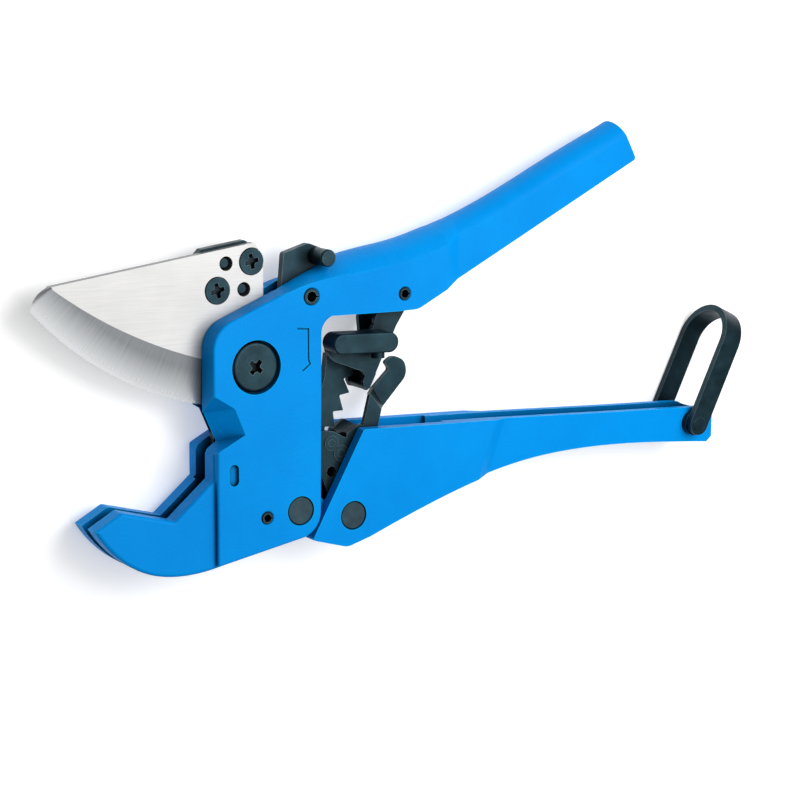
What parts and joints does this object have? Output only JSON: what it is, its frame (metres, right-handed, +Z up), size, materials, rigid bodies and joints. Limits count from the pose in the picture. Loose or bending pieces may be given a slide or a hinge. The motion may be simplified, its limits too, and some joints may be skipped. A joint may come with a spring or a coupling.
{
  "type": "ratchet pipe cutter",
  "caption": "Hand-held ratchet cutter for plastic pipe, with a hooked jaw, a curved pivoting blade, a driving and a holding pawl, a thumb latch and a handle bail.",
  "frame": {"origin": "middle of the bounding box at its lowest point: the tool lies on its back, resting on the bail's pin head", "axes": "+X from the blade's tip towards the handles, +Z up out of the front cheek along every pivot, +Y from the lower handle towards the upper one"},
  "size_m": [0.2466, 0.1254, 0.024],
  "materials": {
    "coat_blue": "satin",
    "blade_steel": "satin",
    "black_steel": "satin",
    "blued_steel": "satin",
    "spring_steel": "satin",
    "bronze": "satin"
  },
  "bodies": {
    "frame": {"frame_casting": "coat_blue", "pivot_bolt": "black_steel", "pivot_bushing": "bronze", "pivot_nut": "black_steel", "blade_return_spring": "spring_steel", "handle_pivot_rivet": "blued_steel", "handle_return_spring": "spring_steel", "spring_anchor_pin": "black_steel", "latch_pivot_pin": "black_steel", "hold_pawl_pin": "black_steel"},
    "blade_assembly": {"cutting_blade": "blade_steel", "ratchet_sector": "black_steel", "blade_screws": "black_steel", "blade_dowels": "black_steel"},
    "handle_assembly": {"lower_handle": "coat_blue", "pawl_pivot_rivet": "blued_steel", "bail_barrel": "black_steel", "bail_spacers": "black_steel"},
    "drive_pawl_assembly": {"drive_pawl": "black_steel", "pawl_rivets": "black_steel", "drive_pawl_spring": "spring_steel"},
    "hold_pawl_assembly": {"hold_pawl": "black_steel", "finger_tab": "black_steel", "tab_screw": "black_steel", "hold_pawl_spring": "spring_steel"},
    "thumb_latch": {"latch_lever": "black_steel", "latch_thumb_pin": "black_steel"},
    "bail": {"handle_bail": "black_steel", "bail_pin": "black_steel"}
  },
  "joints": [
    {"name": "blade_pivot", "type": "hinge", "parent": "frame", "child": "blade_assembly", "pos_m": [-0.0581, -0.00371, 0.0117], "axis": [0, 0, 1], "range_deg": [0, 66.4]},
    {"name": "handle_pivot", "type": "hinge", "parent": "frame", "child": "handle_assembly", "pos_m": [-0.0435, -0.04731, 0.0117], "axis": [0, 0, 1], "range_deg": [0, 28]},
    {"name": "drive_pawl_pivot", "type": "hinge", "parent": "handle_assembly", "child": "drive_pawl_assembly", "pos_m": [-0.0256, -0.05071, 0.0117], "axis": [0, 0, 1], "range_deg": [-41, 0]},
    {"name": "hold_pawl_pivot", "type": "hinge", "parent": "frame", "child": "hold_pawl_assembly", "pos_m": [-0.0084, 0.01439, 0.0117], "axis": [0, 0, 1], "range_deg": [-4.2, 5]},
    {"name": "latch_pivot", "type": "hinge", "parent": "frame", "child": "thumb_latch", "pos_m": [-0.0401, 0.01549, 0.0117], "axis": [0, 0, 1], "range_deg": [0, 12]},
    {"name": "bail_pivot", "type": "hinge", "parent": "handle_assembly", "child": "bail", "pos_m": [0.1033, -0.03501, 0.0117], "axis": [0, 0, 1], "range_deg": [-110, 20]}
  ],
  "couplings": [
    {"joint": "drive_pawl_pivot", "follows": "handle_pivot", "ratio": -1.46}
  ]
}
